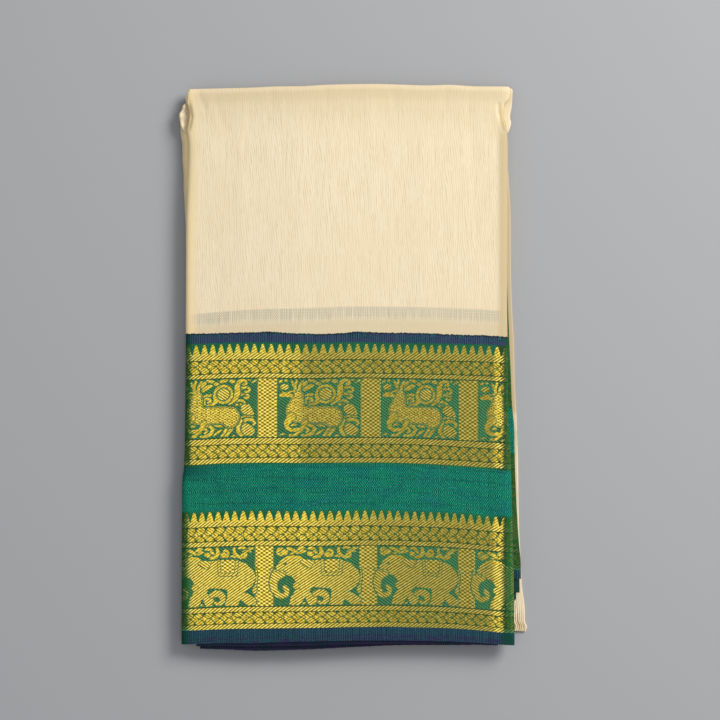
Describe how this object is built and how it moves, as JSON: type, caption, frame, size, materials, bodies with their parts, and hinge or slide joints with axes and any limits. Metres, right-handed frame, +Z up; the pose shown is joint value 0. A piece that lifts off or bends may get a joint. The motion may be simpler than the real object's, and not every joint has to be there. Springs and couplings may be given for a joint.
{
  "type": "folded silk saree",
  "caption": "Silk saree folded into a flat rectangular pack, plain cream body above a wide green and gold brocade border.",
  "frame": {"origin": "middle of the folded pack's outline, on the surface it lies on", "axes": "+Z up, +Y from the selvedges to the fold across the cloth's width, +X across the pack to its right as seen from above"},
  "size_m": [0.3699, 0.6055, 0.0242],
  "materials": {
    "cream_silk": "lustrous plain silk",
    "green_zari_border": "green silk with gold zari brocade",
    "navy_selvedge": "ribbed navy silk"
  },
  "bodies": {
    "root": {"outer_body": "cream_silk", "outer_border": "green_zari_border", "lower_fold_body": "cream_silk", "lower_fold_border": "green_zari_border", "inner_leaf_lower": "green_zari_border", "inner_leaf_middle": "green_zari_border", "inner_leaf_upper": "green_zari_border", "back_leaf": "cream_silk", "selvedge_leaf_upper": "navy_selvedge", "selvedge_leaf_lower": "navy_selvedge", "corner_fold_left": "cream_silk", "corner_fold_right": "cream_silk", "hidden_layers": "cream_silk"}
  },
  "joints": []
}
